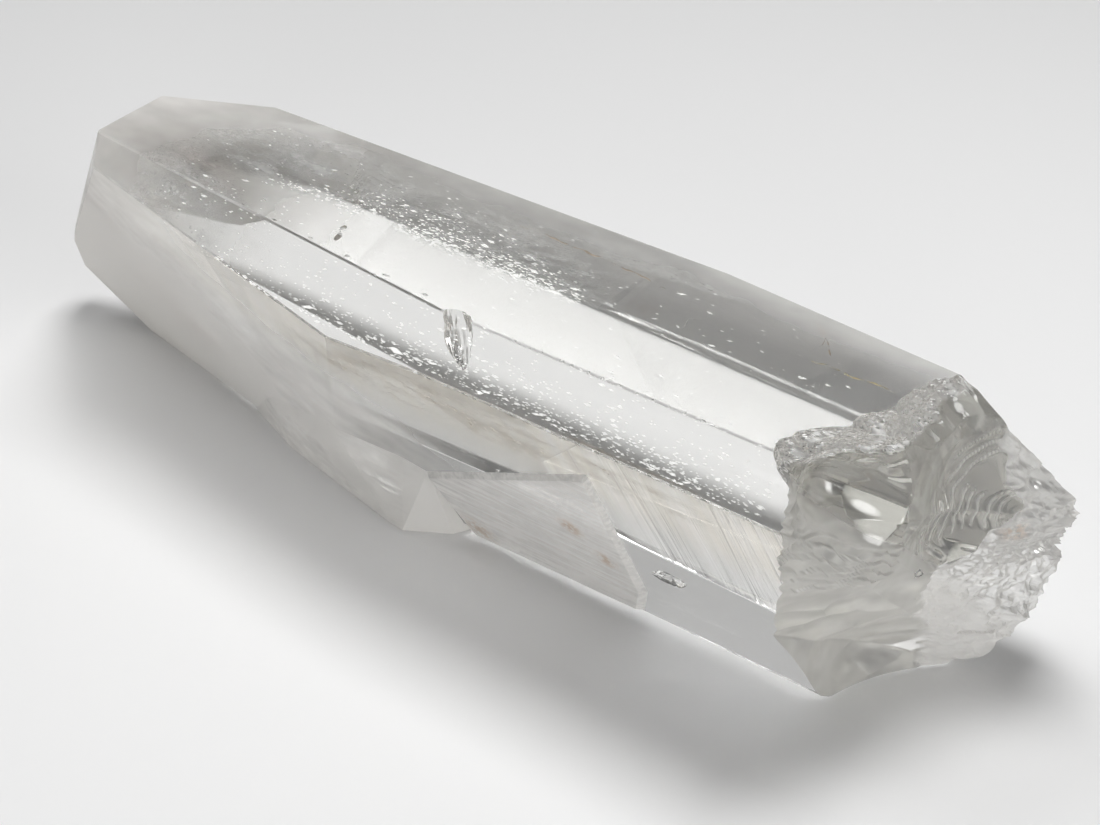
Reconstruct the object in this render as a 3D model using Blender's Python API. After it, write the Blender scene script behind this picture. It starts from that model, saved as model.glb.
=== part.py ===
"""Natural clear quartz point lying on one long prism face.

The long axis of the crystal is X: the broken base is at +X and the natural point at -X.
It rests on its lowest prism face, which is the plane z = 0. Front is -Y.
Lengths are written in millimetres, and made metres when a piece becomes an object. They
are measured from a line under the top face, and MIDDLE then brings the middle of the
finished crystal's outline on the ground to the origin.

The crystal is cut out of a block by its faces, as flat as they grew. A plate-shaped
crystal and the lump it stands on are grown onto its front, its base is broken off in
shell-shaped hollows, and one edge is chipped.
"""

import bmesh
import bpy
import numpy as np
from mathutils import Vector

MM = 0.001
MIDDLE = (-12.02, 0.95, 0.0)

# Driving sizes of the prism
HEIGHT = 31.5  # from the resting face up to the top face, which is level
SLOPE = 0.57735  # tangent of 30 degrees: prism faces meet at 120 degrees
TOP_FRONT = -13.45  # y of the edge between the top face and the narrow shoulder face
FOOT = -0.73  # y of the front edge of the resting face
HEEL = 11.5  # y of the back edge of the resting face

# Prism faces: outward direction and one point on the face
PRISM_FACES = {
    "top": ((0, 0, 1), (0, 0, HEIGHT)),
    "resting": ((0, 0, -1), (0, 0, 0)),
    "shoulder": ((0, -1, SLOPE), (0, TOP_FRONT, HEIGHT)),
    "shoulder towards the point": ((-0.098, -1, SLOPE), (0, TOP_FRONT, HEIGHT)),
    "front": ((0, -1, -SLOPE), (0, FOOT, 0)),
    "front towards the point": ((-0.188, -1, -0.473), (0, -5.53, 0)),
    "lower back": ((0, 1, -SLOPE), (0, HEEL, 0)),
    "lower back towards the point": ((-0.35, 1, -SLOPE), (-42.0, HEEL, 0)),
    "upper back": ((0.068, 1, SLOPE), (0, 7.4, HEIGHT)),
    "upper back towards the point": ((-0.02, 1, 0.68), (0, 6.2, HEIGHT)),
}

# Faces of the point
POINT_FACES = {
    "above": ((-0.772, -0.11, 0.626), (-46.9, -8.7, HEIGHT)),
    "beside": ((-0.66, -0.71, 0.235), (-50.5, -7.6, 24.4)),
    "end": ((-0.9, -0.1, 0.307), (-66.5, 2.6, 9.3)),
    "behind, upper": ((-0.39, 0.78, 0.49), (-38.2, 5.4, HEIGHT)),
    "behind, lower": ((-0.6, 0.68, -0.4), (-67.0, 9.5, 4.0)),
    "below": ((-0.5, 0.0, -0.866), (-64.7, 0.0, 0.0)),
}

# Broken base: two slanting faces (x at the axis, rise along y, rise along z) that meet
# in a ridge, two more low in the front that meet in a valley, and shell-shaped hollows
# scooped out of them (y, z, radius, depth)
BREAK_SLANTS = [(31.2, 0.34, 0.39), (44.9, 0.16, -0.25)]
LOW_SLANTS = [(25.95, 0.75, 0.826), (31.08, 0.3, -0.07)]
HOLLOWS = [
    (-8.7, 26.0, 6.3, 2.4),
    (4.0, 21.5, 7.0, 1.6),
    (4.0, 3.0, 7.0, 1.2),
    (-11.0, 32.0, 4.2, 2.4),
    (-5.5, 32.0, 3.0, 0.8),
    (1.5, 31.0, 4.0, 1.0),
]
SPURS = [  # y, z, spread and height of the spurs left standing at the back
    (11.5, 22.0, 6.5, 4.0),
    (14.0, 3.5, 6.0, 2.6),
]
BREAK_STEPS = 36  # grid squares across the break

# Plate crystal: corners on the front face as (x, height), and how far it stands proud
PLATE = [(-9.5, 8.6), (15.4, 22.3), (14.1, 5.2), (12.0, 1.2), (-8.0, 0.6)]
PLATE_PROUD = 0.5
PLATE_BURIED = 2.5
PLATE_BEVEL = 0.65

# Lump under the plate's blunt end, on which the crystal also stands
LUMP = [
    (-39.5, 1.7, 0.0),
    (-31.6, -1.2, 0.0),
    (-15.4, -4.55, 0.0),
    (-13.7, -4.7, 0.0),
    (-9.8, -2.2, 0.0),
    (-9.3, -5.7, 8.8),
    (-12.0, -6.05, 9.5),
    (-22.0, -5.75, 9.5),
    (-33.0, -2.05, 6.0),
    (-38.0, 3.5, 0.0),
    (-38.0, 3.5, 1.0),
    (-8.0, 2.0, 6.0),
    (-8.0, 2.0, 0.0),
]

# Chip on the edge between the top face and the shoulder: middle, and half its length
# along its own long axis, its width and its depth
CHIP_AT = (2.2, -13.9, 30.7)
CHIP_AXES = [
    ((0.582, -0.412, -0.703), 3.7),
    ((0.815, 0.291, 0.504), 1.35),
    ((0, -0.866, 0.5), 0.9),
]


def add_object(name, bm, material=None):
    """Turn a bmesh, in millimetres, into an object in metres round the origin."""
    bmesh.ops.translate(bm, vec=-Vector(MIDDLE), verts=bm.verts)
    bmesh.ops.scale(bm, vec=(MM, MM, MM), verts=bm.verts)
    mesh = bpy.data.meshes.new(name)
    bm.to_mesh(mesh)
    bm.free()
    if material:
        mesh.materials.append(material)
    obj = bpy.data.objects.new(name, mesh)
    bpy.context.scene.collection.objects.link(obj)
    return obj


def helper(name, bm):
    """A solid that only takes part in a Boolean."""
    obj = add_object(name, bm)
    obj.hide_render = True
    obj.display_type = "WIRE"
    return obj


def combine(body, other, operation):
    """Join a helper solid to the body, or cut it out of the body."""
    modifier = body.modifiers.new(other.name, "BOOLEAN")
    modifier.operation = operation
    modifier.solver = "EXACT"
    modifier.object = other


def cut_flat(bm, normal, point):
    """Cut off everything outside one face and close the cut."""
    everything = bm.verts[:] + bm.edges[:] + bm.faces[:]
    bmesh.ops.bisect_plane(
        bm, geom=everything, plane_co=point, plane_no=normal, clear_outer=True, dist=1e-5
    )
    rim = [e for e in bm.edges if e.is_boundary]
    if rim:
        bmesh.ops.edgenet_fill(bm, edges=rim)
    bmesh.ops.recalc_face_normals(bm, faces=bm.faces)


def make_body(material):
    """Cut the crystal's faces out of a block that reaches past the broken base."""
    bm = bmesh.new()
    bmesh.ops.create_cube(bm, size=1.0)
    bmesh.ops.scale(bm, vec=(140, 80, 80), verts=bm.verts)
    bmesh.ops.translate(bm, vec=(-20, 0, 20), verts=bm.verts)
    for normal, point in [*PRISM_FACES.values(), *POINT_FACES.values()]:
        cut_flat(bm, Vector(normal).normalized(), point)
    return add_object("quartz_crystal", bm, material)


def break_x(y, z):
    """x of the broken base over (y, z).

    The lowest slanting face, where the low ones count as one face, the higher of the
    two, less the deepest hollow, plus the spurs. A hollow is a paraboloid, deepest at
    its middle and back at the face at its radius, and a spur is a bell curve.
    """
    valley = np.maximum.reduce([x + dy * y + dz * z for x, dy, dz in LOW_SLANTS])
    face = np.minimum.reduce([x + dy * y + dz * z for x, dy, dz in BREAK_SLANTS] + [valley])
    scooped = np.zeros_like(face)
    for cy, cz, radius, depth in HOLLOWS:
        r2 = ((y - cy) ** 2 + (z - cz) ** 2) / radius**2
        scooped = np.maximum(scooped, depth * (1 - r2))
    x = face - scooped
    for cy, cz, spread, height in SPURS:
        r2 = ((y - cy) ** 2 + (z - cz) ** 2) / spread**2
        x = x + height * np.exp(-r2)
    return x


def make_break():
    """The waste past the broken base: a block whose near side is the broken surface."""
    far = 60.0
    across = np.linspace(-24, 26, BREAK_STEPS + 1)
    up = np.linspace(-5, 38, BREAK_STEPS + 1)
    y, z = np.meshgrid(across, up, indexing="ij")
    x = break_x(y, z)
    bm = bmesh.new()
    near = [[bm.verts.new((x[i, j], y[i, j], z[i, j])) for j in range(len(up))]
            for i in range(len(across))]
    for i in range(BREAK_STEPS):
        for j in range(BREAK_STEPS):
            bm.faces.new((near[i][j], near[i + 1][j], near[i + 1][j + 1], near[i][j + 1]))
    rim = [e for e in bm.edges if e.is_boundary]
    grown = bmesh.ops.extrude_edge_only(bm, edges=rim)["geom"]
    for vert in [g for g in grown if isinstance(g, bmesh.types.BMVert)]:
        vert.co.x = far
    bmesh.ops.edgenet_fill(bm, edges=[e for e in bm.edges if e.is_boundary])
    bmesh.ops.triangulate(bm, faces=bm.faces)
    bmesh.ops.recalc_face_normals(bm, faces=bm.faces)
    return helper("break", bm)


def on_front(x, z, out):
    """A point of the front face at this height, moved straight out of the face."""
    outward = np.array([0, -1, -SLOPE]) / np.hypot(1, SLOPE)
    return np.array([x, FOOT - SLOPE * z, z]) + outward * out


def make_plate():
    """A slab with a smaller outer outline, so that its edges are bevelled."""
    outline = np.array(PLATE)
    middle = outline.mean(axis=0)
    reach = np.linalg.norm(outline - middle, axis=1, keepdims=True)
    inner = middle + (outline - middle) * (1 - PLATE_BEVEL / reach)
    corners = [on_front(x, z, -PLATE_BURIED) for x, z in outline]
    corners += [on_front(x, z, 0.0) for x, z in outline]
    corners += [on_front(x, z, PLATE_PROUD) for x, z in inner]
    return make_hull("plate", corners)


def make_hull(name, corners):
    """The convex solid round these corners."""
    bm = bmesh.new()
    for corner in corners:
        bm.verts.new(corner)
    found = bmesh.ops.convex_hull(bm, input=bm.verts)
    inside = [v for v in found["geom_interior"] if isinstance(v, bmesh.types.BMVert)]
    bmesh.ops.delete(bm, geom=inside, context="VERTS")
    bmesh.ops.recalc_face_normals(bm, faces=bm.faces)
    return helper(name, bm)


def make_chip():
    """A slender egg lying across the edge, which scoops the chip out of it."""
    bm = bmesh.new()
    bmesh.ops.create_icosphere(bm, subdivisions=2, radius=1.0)
    axes = np.array([np.array(axis) / np.linalg.norm(axis) * size for axis, size in CHIP_AXES])
    for vert in bm.verts:
        vert.co = np.array(CHIP_AT) + np.array(vert.co) @ axes
    return helper("chip", bm)


def clear_quartz():
    """Colourless quartz."""
    material = bpy.data.materials.new("clear_quartz")
    material.use_nodes = True
    shader = material.node_tree.nodes["Principled BSDF"]
    shader.inputs["Base Color"].default_value = (0.95, 0.95, 0.94, 1.0)
    shader.inputs["Roughness"].default_value = 0.05
    shader.inputs["Metallic"].default_value = 0.0
    shader.inputs["IOR"].default_value = 1.544
    shader.inputs["Transmission Weight"].default_value = 1.0
    return material


def main():
    for obj in list(bpy.data.objects):
        bpy.data.objects.remove(obj)
    crystal = make_body(clear_quartz())
    combine(crystal, make_plate(), "UNION")
    combine(crystal, make_hull("lump", LUMP), "UNION")
    combine(crystal, make_break(), "DIFFERENCE")
    combine(crystal, make_chip(), "DIFFERENCE")


main()
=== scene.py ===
"""A clear natural quartz point: flat worn faces, a shell-shaped broken base, a frosted
plate crystal on its front, and the veils, cracks and flecks sealed inside it.

Lengths in this file are millimetres, measured as the faces below are. MIDDLE brings the
middle of the crystal's outline on the ground to the origin, and MM turns them to metres.
"""

import itertools

import bmesh
import bpy
import mathutils
import numpy as np
from bpy.props import FloatProperty, FloatVectorProperty, IntProperty, PointerProperty
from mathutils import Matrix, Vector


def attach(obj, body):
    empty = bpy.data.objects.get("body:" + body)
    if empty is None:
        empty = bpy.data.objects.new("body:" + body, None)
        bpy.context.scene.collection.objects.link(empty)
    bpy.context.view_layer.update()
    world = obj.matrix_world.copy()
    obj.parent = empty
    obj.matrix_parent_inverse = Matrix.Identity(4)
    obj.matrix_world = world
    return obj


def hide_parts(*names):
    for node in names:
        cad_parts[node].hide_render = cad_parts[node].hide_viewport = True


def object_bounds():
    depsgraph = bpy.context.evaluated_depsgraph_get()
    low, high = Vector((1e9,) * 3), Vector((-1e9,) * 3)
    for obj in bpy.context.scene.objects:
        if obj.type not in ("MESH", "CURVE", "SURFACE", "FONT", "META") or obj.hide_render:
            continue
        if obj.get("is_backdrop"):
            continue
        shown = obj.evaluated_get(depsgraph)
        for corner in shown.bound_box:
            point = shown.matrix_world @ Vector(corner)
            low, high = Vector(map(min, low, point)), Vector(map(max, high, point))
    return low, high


bl_info = {
    "name": "Quartz Crystal",
    "version": (1, 0, 0),
    "blender": (4, 5, 0),
    "location": "3D View > Sidebar > Quartz",
    "description": "Makes a clear quartz point with its broken base, plate crystal and inclusions",
    "category": "Add Mesh",
}

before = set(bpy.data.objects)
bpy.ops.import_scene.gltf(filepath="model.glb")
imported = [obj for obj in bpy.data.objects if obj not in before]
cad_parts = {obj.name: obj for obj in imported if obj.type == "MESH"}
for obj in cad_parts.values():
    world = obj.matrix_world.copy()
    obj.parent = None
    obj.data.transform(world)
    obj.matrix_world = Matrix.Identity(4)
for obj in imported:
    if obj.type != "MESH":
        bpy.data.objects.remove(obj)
CAD_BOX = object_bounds()

MM = 0.001
MIDDLE = np.array([-12.02, 0.95, 0.0])
NODE = "quartz_crystal"
SLOT = "clear_quartz"

# ---- The faces the crystal grew: outward direction and one point on each ----

HEIGHT = 31.5
SLOPE = 0.57735
FOOT = -0.73
HEEL = 11.5

PRISM_FACES = {
    "top": ((0, 0, 1), (0, 0, HEIGHT)),
    "resting": ((0, 0, -1), (0, 0, 0)),
    "shoulder": ((0, -1, SLOPE), (0, -13.45, HEIGHT)),
    "shoulder_far": ((-0.098, -1, SLOPE), (0, -13.45, HEIGHT)),
    "front": ((0, -1, -SLOPE), (0, FOOT, 0)),
    "front_far": ((-0.188, -1, -0.473), (0, -5.53, 0)),
    "foot_bevel": ((0, -0.5, -0.866), (0, FOOT + 0.9, 0)),
    "lower_back": ((0, 1, -SLOPE), (0, HEEL, 0)),
    "lower_back_far": ((-0.35, 1, -SLOPE), (-42.0, HEEL, 0)),
    "upper_back": ((0.068, 1, SLOPE), (0, 7.4, HEIGHT)),
    "upper_back_far": ((-0.02, 1, 0.68), (0, 6.2, HEIGHT)),
}
POINT_FACES = {
    "above": ((-0.772, -0.11, 0.626), (-46.9, -8.7, HEIGHT)),
    "beside": ((-0.66, -0.71, 0.235), (-50.5, -7.6, 24.4)),
    "end": ((-0.9, -0.1, 0.307), (-66.5, 2.6, 9.3)),
    "behind_upper": ((-0.39, 0.78, 0.49), (-38.2, 5.4, HEIGHT)),
    "behind_lower": ((-0.6, 0.68, -0.4), (-67.0, 9.5, 4.0)),
    "below": ((-0.5, 0.0, -0.866), (-64.7, 0.0, 0.0)),
}
GROWN_FACES = [*PRISM_FACES.values(), *POINT_FACES.values()]
PAST_THE_BREAK = 60.0  # the prism runs on to here before its end is broken off
OUTSIDE = 40.0  # farther from the line through the break's centre than any of the rim
CUT_END = PAST_THE_BREAK - 0.001  # corners past here are the cut-off end's
SLIDES = 40  # how often a corner is moved along its edge towards the break
HALVINGS = 45  # how often the distance to the rim is halved
SHARP_ENOUGH = 0.95  # faces whose directions agree less than this meet in an edge that wears
SEAM = 2e-6  # metres between two points on the ring round the break that become one
NEARLY = 0.99  # a direction this close to +x belongs to the cut-off end
SAME_WAY = 0.985  # a face whose direction agrees more than this belongs to a named side
TOUCHING = 1e-4  # a corner this near a face lies on it

# Broken base: slanting faces (x at the axis, rise along y, rise along z), two more low
# in the front that meet in a valley, hollows (y, z, radius, depth) and spurs (y, z,
# spread, height)
BREAK_SLANTS = [(31.2, 0.34, 0.39), (44.9, 0.16, -0.25)]
LOW_SLANTS = [(25.95, 0.75, 0.826), (31.08, 0.3, -0.07)]
HOLLOWS = [
    (-8.7, 26.0, 6.3, 2.4),
    (4.0, 21.5, 7.0, 1.6),
    (4.0, 3.0, 7.0, 1.2),
    (-11.0, 32.0, 4.2, 2.4),
    (-5.5, 32.0, 3.0, 0.8),
    (1.5, 31.0, 4.0, 1.0),
]
SPURS = [(11.5, 22.0, 6.5, 4.0), (14.0, 3.5, 6.0, 2.6)]
BREAK_CENTRE = np.array([1.0, 15.0])  # y and z of the line round which the break is drawn
RING_MIDDLE = (8.6, 19.6)  # y and z that the rings on the break run round

# Where the break's parts begin: the sugary part at each z, the chipped rim at each y
GRAINY_FROM = ([0, 4, 9, 12, 16, 20, 27, 32], [9.0, 7.0, 4.5, 2.2, 5.2, 6.9, 7.6, 9.5])
CHIPPED_FROM = ([-14, -8, -3, 0, 3, 6], [29.9, 29.2, 28.3, 28.6, 29.6, 30.5])

# Flakes that left the break: (y, z) of the bowl's middle, half lengths, turn, depth
FLAKES = [
    ((-7.0, 25.0), (7.0, 2.9), -38.0, 0.8),
    ((-7.8, 26.3), (7.6, 3.4), -34.0, 0.42),
    ((4.2, 20.8), (6.8, 5.0), 62.0, 0.8),
    ((3.9, 28.7), (1.5, 2.4), 20.0, 0.4),
    ((1.0, 28.6), (1.4, 1.6), 0.0, 0.3),
    ((-12.4, 23.6), (2.4, 4.0), -20.0, 0.35),
    ((-0.6, 13.6), (3.0, 2.4), -40.0, 0.35),
    ((2.4, 6.2), (3.4, 3.6), 25.0, 0.4),
    ((4.4, 3.0), (4.0, 2.6), 15.0, 0.4),
]
SCOOP = FLAKES[0]

# Plate crystal and the lump it stands on
PLATE = [(-9.5, 8.6), (15.4, 22.3), (14.1, 5.2), (12.0, 1.2), (-8.0, 0.6)]
PLATE_BURIED = 2.5
LUMP = [
    (-39.5, 1.7, 0.0),
    (-31.6, -1.2, 0.0),
    (-15.4, -4.55, 0.0),
    (-13.7, -4.7, 0.0),
    (-9.8, -2.2, 0.0),
    (-9.3, -5.7, 8.8),
    (-12.0, -6.05, 9.5),
    (-22.0, -5.75, 9.5),
    (-33.0, -2.05, 6.0),
    (-38.0, 3.5, 0.0),
    (-38.0, 3.5, 1.0),
    (-8.0, 2.0, 6.0),
    (-8.0, 2.0, 0.0),
]

# Chips in the front edges: middle, then direction and half length of each axis. The
# first axis is the long one, and a chip is pointed at both its ends
EDGE_CHIP = (2.2, -13.9, 30.7)
CHIPS = [
    (
        EDGE_CHIP,
        ((0.582, -0.412, -0.703), 3.7), ((0.815, 0.291, 0.504), 1.35), ((0, -0.866, 0.5), 0.9),
    ),
    (
        (18.4, -6.4, 9.9),
        ((0.95, -0.15, 0.27), 2.2), ((-0.27, -0.48, 0.83), 1.1), ((0, -0.866, -0.5), 0.6),
    ),
]
# Edges with small nicks: both ends and the usual distance between two nicks
NICKED_EDGES = [
    ((-40.0, -9.5, HEIGHT), (5.0, -13.0, HEIGHT), 4.5),
    ((7.5, -13.45, HEIGHT), (29.0, -13.45, HEIGHT), 1.5),
    ((-3.0, -16.08, 26.65), (34.0, -16.16, 26.77), 1.7),
    ((16.0, -1.2, 0.9), (29.0, -1.2, 0.9), 3.6),
]
NICK_RADII = (0.1, 0.26)
CLEAR_OF_CHIP = 4.5  # no nick is nearer than this to the edge chip

# What is sealed in stays this far behind the break's broad shape
BEHIND_BREAK = 1.5

# Veils sealed in the crystal, each a thin lens: middle, two half axes, then how far it
# waves, its colour, how thick its cloud is and how fine
WHITE = (0.86, 0.86, 0.85)
PINK = (0.84, 0.79, 0.77)
TAN = (0.74, 0.66, 0.54)
VEILS = {
    "veil_cloud": (
        (-30.0, 1.0, 28.6), (17.0, -0.6, 0.0), (-1.0, 6.2, -0.6), 0.9, WHITE, 0.5, 420.0
    ),
    "veil_tail": (
        (-6.0, -1.2, 29.9), (14.5, 0.0, 0.3), (-2.0, 4.6, -0.6), 0.6, WHITE, 0.42, 900.0
    ),
    "veil_tip": ((-50.5, -4.5, 20.0), (8.0, 2.0, -7.5), (1.5, 9.0, 3.5), 1.2, PINK, 0.55, 300.0),
    "veil_tip_low": (
        (-48.0, -1.0, 11.0), (11.0, 1.0, -2.0), (-1.0, 5.0, 6.5), 1.2, PINK, 0.5, 340.0
    ),
    "veil_shoulder": (
        (-38.0, -9.0, 27.0), (12.0, -2.5, 0.5), (0.6, 2.8, 2.6), 0.6, WHITE, 0.4, 380.0
    ),
    "veil_front": (
        (-22.0, -5.6, 10.0), (17.0, 0.0, -1.0), (0.5, -3.6, 6.2), 0.5, WHITE, 0.42, 520.0
    ),
    "veil_tan": ((5.0, -12.6, 22.8), (27.0, 0.0, 0.6), (0.3, -1.5, 2.6), 0.2, TAN, 0.34, 500.0),
    "veil_wedge": ((7.0, 3.9, 30.9), (9.5, 0.5, 0.0), (-2.5, 1.6, 0.0), 0.1, WHITE, 0.4, 300.0),
}
VEIL_HALF_THICKNESS = 0.03

# Stained cracks just under the top face: points, width and colour
CRACK_DEPTH = 0.12
RUST = (0.55, 0.42, 0.28)
OCHRE = (0.75, 0.62, 0.30)
PALE = (0.88, 0.88, 0.86)
DUSK = (0.45, 0.42, 0.38)
TOP_CRACKS = {
    "crack_back": (
        [(-5.0, 1.9), (-2.0, 2.1), (1.2, 1.9), (4.5, 1.8), (8.4, 1.5), (11.5, 1.1)], 0.26, RUST
    ),
    "crack_fork": ([(23.8, 4.6), (25.0, 3.7), (26.1, 2.7), (28.0, 0.9)], 0.22, RUST),
    "crack_fork_side": ([(26.1, 2.7), (26.5, 1.7), (26.4, 0.5)], 0.18, RUST),
    "crack_near": (
        [(27.3, -0.8), (29.0, -0.6), (30.9, -0.8), (33.0, -0.5), (35.0, -0.8)], 0.22, OCHRE
    ),
    "scratch": ([(16.3, -3.9), (16.5, -3.0), (16.0, -1.6), (16.6, -1.5), (17.1, -1.1)], 0.18, PALE),
    "smudge": ([(-16.3, -7.7), (-15.6, -9.0), (-15.0, -10.3)], 0.9, DUSK),
}

# Iron stains: middle and radius
STAINS = [
    ((41.0, 8.7, 17.5), 1.8),
    ((9.2, -8.2, 11.9), 1.7),
    ((11.6, -6.4, 8.7), 1.6),
    ((-6.0, -3.4, 2.0), 2.6),
]

# Soft windows of light: azimuth from +x towards +y, elevation, radius (degrees), strength
WINDOWS = {
    "left high a": (203.0, 48.0, 5.5, 8.8),
    "left high b": (195.0, 53.0, 5.5, 7.7),
    "left high c": (187.0, 58.0, 5.5, 7.1),
    "left high d": (178.0, 62.5, 5.5, 7.1),
    "left high e": (168.0, 67.0, 5.0, 6.5),
    "back low": (147.0, 6.0, 12.0, 2.0),
    "back": (119.7, 14.5, 9.0, 0.6),
    "right high": (322.0, 57.0, 24.0, 0.5),
    "right low": (308.0, 12.0, 9.0, 7.0),
    "right lower": (350.0, 12.0, 9.0, 12.0),
}
WINDOW_EDGE = 2.5  # half the width of a window's soft edge, in degrees
OVERHEAD_PLACE = (0.04, 0.01, 0.32)  # metres
OVERHEAD_SIZE = 0.13
FLOOR_HALF = 1.5
FLOOR_DROP = 0.0002
PAPER_RELIEF = 0.00002
SENSOR_WIDTH = 36.0
CLIP_START = 0.005

# Which surface a face belongs to, kept as its material index while the pieces are joined,
# and how rough, how white and how strongly layered each of them is
GROWN, BROKEN, FROSTED, CHIPPED, MILKY = range(5)
ROUGH_KINDS = np.array([0.0, 0.015, 0.5, 0.1, 0.1])
WHITE_KINDS = np.array([0.0, 0.0, 0.45, 0.05, 0.95])
LAYERED_KINDS = np.array([0.0, 0.0, 1.0, 0.0, 0.35])


# ---- Noise, as whole arrays. The whole number handed to a noise is its seed ----


def lattice(seed, count=64):
    """Random numbers from 0 to 1 on a grid that repeats every count cells."""
    return np.random.default_rng(seed).random((count, count))


def smooth_noise(u, v, seed):
    """Random values at whole u and v, blended between with an S curve. From -1 to 1."""
    table = lattice(seed) * 2 - 1
    i = np.floor(u).astype(int)
    j = np.floor(v).astype(int)
    a = u - i
    b = v - j
    a = a * a * (3 - 2 * a)
    b = b * b * (3 - 2 * b)
    n = len(table)
    near = table[i % n, j % n] * (1 - a) + table[(i + 1) % n, j % n] * a
    far = table[i % n, (j + 1) % n] * (1 - a) + table[(i + 1) % n, (j + 1) % n] * a
    return near * (1 - b) + far * b


def rough_noise(u, v, seed, layers=4):
    """Smooth noise plus layers of it, each twice as fine and about half as strong."""
    return sum(smooth_noise(u * 2**k, v * 2**k, seed + k) * 0.55**k for k in range(layers))


def near_points(u, v, seed):
    """The nine jittered points, one to a cell, round (u, v): its cell, and the way from it."""
    jitter_u = lattice(seed)
    jitter_v = lattice(seed + 1)
    n = len(jitter_u)
    i = np.floor(u).astype(int)
    j = np.floor(v).astype(int)
    for di, dj in itertools.product((-1, 0, 1), repeat=2):
        cell = (i + di) % n, (j + dj) % n
        yield cell, u - (i + di + jitter_u[cell]), v - (j + dj + jitter_v[cell])


def scallops(u, v, seed):
    """Squared distance to the nearest jittered point.

    Each point gets a bowl, and the bowls meet in sharp ridges. About 0 to 1.
    """
    return np.minimum.reduce([du * du + dv * dv for _, du, dv in near_points(u, v, seed)])


def flat_chips(u, v, seed, tilt):
    """Tilted bowls round jittered points, the lowest one counting, as split rock breaks."""
    lean_u = lattice(seed + 2) * 2 - 1
    lean_v = lattice(seed + 3) * 2 - 1
    return np.minimum.reduce([
        du * du + dv * dv + tilt * (lean_u[cell] * du + lean_v[cell] * dv)
        for cell, du, dv in near_points(u, v, seed)
    ])


def cusps(t):
    """A row of bowls with sharp ridges between them: 0 at each whole t, -1 half way."""
    part = t - np.floor(t)
    return -4 * part * (1 - part)


def ramp(x, low, high):
    """0 below low, 1 above high, an S curve between."""
    t = np.clip((x - low) / (high - low), 0, 1)
    return t * t * (3 - 2 * t)


# ---- The crystal's solid shape ----


def planes(faces):
    """Unit directions and distances from the origin of a table of faces."""
    normals = np.array([face[0] for face in faces], float)
    normals /= np.linalg.norm(normals, axis=1, keepdims=True)
    points = np.array([face[1] for face in faces], float)
    return normals, (normals * points).sum(axis=1)


def corners_of(normals, offsets):
    """Every point where three planes meet and that no other plane cuts off."""
    triples = np.array(list(itertools.combinations(range(len(normals)), 3)))
    meets = np.abs(np.linalg.det(normals[triples])) > 1e-5
    sides = offsets[triples[meets]][..., None]
    points = np.linalg.solve(normals[triples[meets]], sides)[..., 0]
    kept = (points @ normals.T <= offsets + 1e-6).all(axis=1)
    return np.unique(np.round(points[kept], 6), axis=0)


def worn(normals, offsets, wear):
    """The planes with a narrow extra plane along each sharp edge, set back by the wear."""
    corners = corners_of(normals, offsets)
    on_face = np.abs(corners @ normals.T - offsets) < TOUCHING
    extra_normals = []
    extra_offsets = []
    for i, j in itertools.combinations(range(len(normals)), 2):
        shared = corners[on_face[:, i] & on_face[:, j]]
        if len(shared) < 2 or normals[i] @ normals[j] > SHARP_ENOUGH:
            continue
        between = normals[i] + normals[j]
        between /= np.linalg.norm(between)
        extra_normals.append(between)
        extra_offsets.append(between @ shared[0] - wear)
    return np.vstack([normals, extra_normals]), np.append(offsets, extra_offsets)


def turning_order(points, normal):
    """The order of points round their middle, turning about a direction."""
    middle = points.mean(axis=0)
    across = points[0] - middle
    across -= normal * (across @ normal)
    up = np.cross(normal, across)
    return np.argsort(np.arctan2((points - middle) @ up, (points - middle) @ across))


def break_shape(y, z):
    """x of the broken base over (y, z), without its fine detail.

    The lowest slanting face, where the low ones count as one face, the higher of the
    two, less the deepest hollow, plus the spurs. A hollow is a paraboloid, deepest at
    its middle and back at the face at its radius, and a spur is a bell curve.
    """
    valley = np.maximum.reduce([x + dy * y + dz * z for x, dy, dz in LOW_SLANTS])
    face = np.minimum.reduce([x + dy * y + dz * z for x, dy, dz in BREAK_SLANTS] + [valley])
    scooped = np.zeros_like(face)
    for cy, cz, radius, depth in HOLLOWS:
        r2 = ((y - cy) ** 2 + (z - cz) ** 2) / radius**2
        scooped = np.maximum(scooped, depth * (1 - r2))
    x = face - scooped
    for cy, cz, spread, height in SPURS:
        r2 = ((y - cy) ** 2 + (z - cz) ** 2) / spread**2
        x = x + height * np.exp(-r2)
    return x


def grainy(y, z):
    """How rough and sugary the break is, from 0 in the shell-shaped part to 1 behind."""
    edge = np.interp(z, *GRAINY_FROM) + 0.9 * rough_noise(y * 0.35, z * 0.35, 11)
    return ramp(y - edge, -0.7, 0.7)


def rim_chips(y, z):
    """How much the broken edge of the top face is chipped, from 0 to 1."""
    over = z - np.interp(y, *CHIPPED_FROM)
    return ramp(over + 0.35 * rough_noise(y * 0.8, z * 0.8, 13), -0.25, 0.35)


def bowl(y, z, middle, radii, turn, depth):
    """A long bowl: minus its depth at its middle, 0 on its oval outline, rising outside."""
    c, s = np.cos(np.radians(turn)), np.sin(np.radians(turn))
    u = ((y - middle[0]) * c + (z - middle[1]) * s) / radii[0]
    v = ((z - middle[1]) * c - (y - middle[0]) * s) / radii[1]
    return depth * (u * u + v * v - 1)


def flakes(y, z):
    """Where each flake of the break left its own bowl: the lowest one counts.

    Bowls meet in sharp ridges, as broken glass does.
    """
    return np.minimum.reduce([np.zeros_like(y)] + [bowl(y, z, *flake) for flake in FLAKES])


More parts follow.
